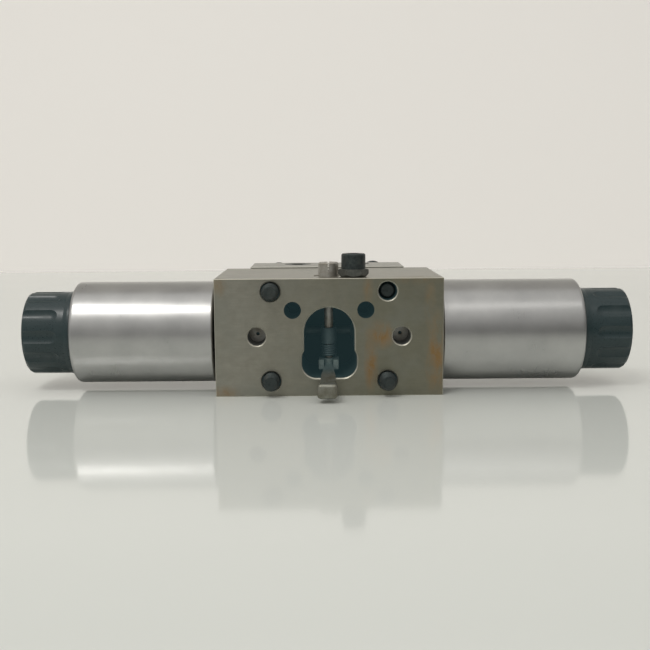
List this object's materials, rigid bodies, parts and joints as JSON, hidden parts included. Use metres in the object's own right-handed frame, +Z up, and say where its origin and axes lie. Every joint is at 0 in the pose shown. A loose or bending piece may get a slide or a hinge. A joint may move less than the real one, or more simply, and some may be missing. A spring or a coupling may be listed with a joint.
{
  "type": "solenoid directional valve",
  "caption": "Spool valve block with a solenoid at each end, a feedback lever in its mating face and a rear body, shown unbolted.",
  "frame": {"origin": "centre of the mounting bolt pattern, on the mating face", "axes": "+X along the spool towards the right-hand solenoid, +Y into the valve away from the machine it bolts to, +Z up"},
  "size_m": [0.2183, 0.1013, 0.0497],
  "materials": {
    "ground_steel": "ground, oiled, light rust stains",
    "rear_steel": "ground, oiled",
    "black_steel": "black oxide",
    "plain_steel": "turned and ground",
    "spring_steel": "drawn wire, oiled",
    "tube_steel": "turned",
    "armature_iron": "ground",
    "bronze": "sintered",
    "gap_brass": "rolled",
    "coil_can": "satin plated",
    "coil_plate": "turned and plated",
    "copper_winding": "enamelled wire",
    "bobbin_plastic": "moulded",
    "connector_plastic": "moulded",
    "pin_tin": "tin plated",
    "nut_plastic": "moulded, semi-gloss",
    "rubber": "moulded"
  },
  "bodies": {
    "valve": {"valve_housing": "ground_steel", "rear_body": "rear_steel", "passage_seals": "rubber", "mounting_screws": "black_steel", "lock_washer": "black_steel", "gauge_port_plug_left": "black_steel", "gauge_port_plug_right": "black_steel", "supply_orifice_left": "plain_steel", "supply_orifice_right": "plain_steel", "pole_tube_left": "tube_steel", "pole_tube_right": "tube_steel", "rod_bush_left": "bronze", "rod_bush_right": "bronze", "tube_seal_left": "rubber", "tube_seal_right": "rubber", "gap_disc_left": "gap_brass", "gap_disc_right": "gap_brass", "end_stop_left": "tube_steel", "end_stop_right": "tube_steel", "plunger_seal_left": "rubber", "plunger_seal_right": "rubber"},
    "pivot_screw": {"pivot_screw": "plain_steel", "pivot_seal": "rubber", "pivot_clip": "plain_steel"},
    "lock_screw": {"lock_screw": "black_steel"},
    "spool": {"spool": "plain_steel"},
    "driver_lever": {"driver_lever": "plain_steel"},
    "feedback_lever": {"feedback_lever": "plain_steel", "torsion_spring": "spring_steel"},
    "armature_left": {"armature_left": "armature_iron", "push_rod_left": "plain_steel", "override_plunger_left": "plain_steel"},
    "coil_left": {"coil_can_left": "coil_can", "coil_inner_plate_left": "coil_plate", "coil_seal_left": "rubber", "coil_bobbin_left": "bobbin_plastic", "coil_winding_left": "copper_winding", "connector_housing_left": "connector_plastic", "connector_pins_left": "pin_tin"},
    "nut_left": {"coil_nut_left": "nut_plastic", "nut_seal_left": "rubber"},
    "armature_right": {"armature_right": "armature_iron", "push_rod_right": "plain_steel", "override_plunger_right": "plain_steel"},
    "coil_right": {"coil_can_right": "coil_can", "coil_inner_plate_right": "coil_plate", "coil_seal_right": "rubber", "coil_bobbin_right": "bobbin_plastic", "coil_winding_right": "copper_winding", "connector_housing_right": "connector_plastic", "connector_pins_right": "pin_tin"},
    "nut_right": {"coil_nut_right": "nut_plastic", "nut_seal_right": "rubber"}
  },
  "joints": [
    {"name": "spool_shift", "type": "slide", "parent": "valve", "child": "spool", "axis": [1, 0, 0], "range_m": [-0.002, 0.002], "stiffness_N_per_m": 4000},
    {"name": "driver_swing", "type": "hinge", "parent": "valve", "child": "driver_lever", "pos_m": [0, 0.0112, -0.0007], "axis": [0, 0, 1], "range_deg": [-19, 19]},
    {"name": "feedback_swing", "type": "hinge", "parent": "valve", "child": "feedback_lever", "pos_m": [0, 0.0112, -0.0114], "axis": [0, 0, 1], "range_deg": [-11.9, 16.1], "stiffness_Nm_per_rad": 0.2, "deforming": ["torsion_spring"]},
    {"name": "pivot_screw_turn", "type": "hinge", "parent": "valve", "child": "pivot_screw", "pos_m": [0, 0.0112, 0.0203], "axis": [0, 0, 1], "continuous": true},
    {"name": "lock_screw_turn", "type": "hinge", "parent": "valve", "child": "lock_screw", "pos_m": [0.0087, 0.0057, 0.0203], "axis": [0, 0, 1], "continuous": true},
    {"name": "armature_slide_left", "type": "slide", "parent": "valve", "child": "armature_left", "axis": [1, 0, 0], "range_m": [-0.002, 0.002]},
    {"name": "armature_slide_right", "type": "slide", "parent": "valve", "child": "armature_right", "axis": [1, 0, 0], "range_m": [-0.002, 0.002]},
    {"name": "coil_turn_left", "type": "hinge", "parent": "valve", "child": "coil_left", "pos_m": [-0.066, 0.0205, -0.0007], "axis": [1, 0, 0], "continuous": true},
    {"name": "coil_turn_right", "type": "hinge", "parent": "valve", "child": "coil_right", "pos_m": [0.066, 0.0205, -0.0007], "axis": [1, 0, 0], "continuous": true},
    {"name": "nut_turn_left", "type": "hinge", "parent": "valve", "child": "nut_left", "pos_m": [-0.1, 0.0205, -0.0007], "axis": [1, 0, 0], "continuous": true},
    {"name": "nut_turn_right", "type": "hinge", "parent": "valve", "child": "nut_right", "pos_m": [0.1, 0.0205, -0.0007], "axis": [1, 0, 0], "continuous": true}
  ],
  "couplings": [
    {"joint": "armature_slide_left", "follows": "spool_shift", "ratio": 1},
    {"joint": "armature_slide_right", "follows": "spool_shift", "ratio": 1},
    {"joint": "driver_swing", "follows": "spool_shift", "rad_per_m": -158.73}
  ]
}
